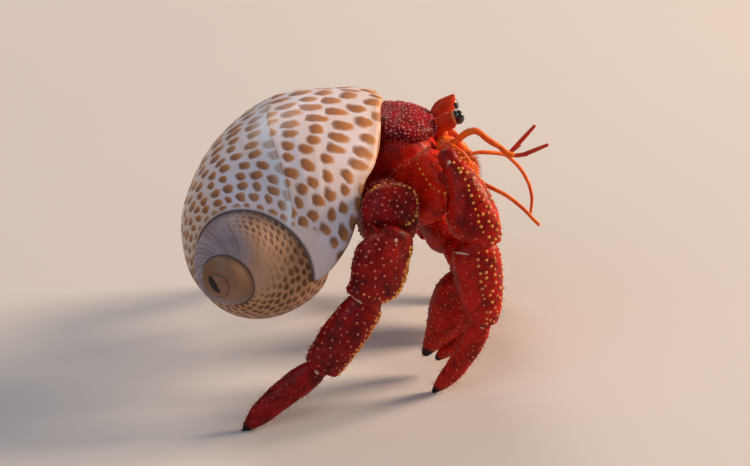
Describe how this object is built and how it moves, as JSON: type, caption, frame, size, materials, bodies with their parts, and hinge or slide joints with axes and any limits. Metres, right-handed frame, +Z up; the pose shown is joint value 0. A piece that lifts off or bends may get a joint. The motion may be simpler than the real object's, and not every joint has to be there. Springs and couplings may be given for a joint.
{
  "type": "hermit crab",
  "caption": "Life-size land hermit crab walking on its jointed legs with a spotted coiled snail shell on its back, as one still model.",
  "frame": {"origin": "middle of the figure's box, on the ground it stands on", "axes": "+X the way the crab walks, +Y towards its left side, +Z up; the shell's tip points back and to the right"},
  "size_m": [0.0626, 0.0651, 0.0491],
  "materials": {
    "shell": "glossy pale shell with orange-brown spots in spiral rows",
    "carapace": "dark crimson crust with pale granules",
    "leg": "deep red crust with white granules and orange-red margins",
    "claw": "deep red crust with white granules",
    "feeler": "orange to red, ringed",
    "cornea": "glossy black",
    "soft_body": "soft reddish brown skin"
  },
  "bodies": {
    "root": {"abdomen": "soft_body", "antenna_left_stem": "feeler", "antenna_left_whip": "feeler", "antenna_right_stem": "feeler", "antenna_right_whip": "feeler", "antennule_left_stem": "feeler", "antennule_left_whip": "feeler", "antennule_right_stem": "feeler", "antennule_right_whip": "feeler", "carapace_shield": "carapace", "cephalothorax": "carapace", "cheliped_left_carpus": "claw", "cheliped_left_finger": "claw", "cheliped_left_ischium": "claw", "cheliped_left_merus": "claw", "cheliped_left_palm": "claw", "cheliped_right_carpus": "claw", "cheliped_right_finger": "claw", "cheliped_right_ischium": "claw", "cheliped_right_merus": "claw", "cheliped_right_palm": "claw", "cornea_left": "cornea", "cornea_right": "cornea", "eyestalk_left": "carapace", "eyestalk_right": "carapace", "leg2_left_carpus": "leg", "leg2_left_dactylus": "leg", "leg2_left_ischium": "leg", "leg2_left_merus": "leg", "leg2_left_propodus": "leg", "leg2_right_carpus": "leg", "leg2_right_dactylus": "leg", "leg2_right_ischium": "leg", "leg2_right_merus": "leg", "leg2_right_propodus": "leg", "leg3_left_carpus": "leg", "leg3_left_dactylus": "leg", "leg3_left_ischium": "leg", "leg3_left_merus": "leg", "leg3_left_propodus": "leg", "leg3_right_carpus": "leg", "leg3_right_dactylus": "leg", "leg3_right_ischium": "leg", "leg3_right_merus": "leg", "leg3_right_propodus": "leg", "maxilliped_left": "carapace", "maxilliped_right": "carapace", "shell": "shell"}
  },
  "joints": []
}
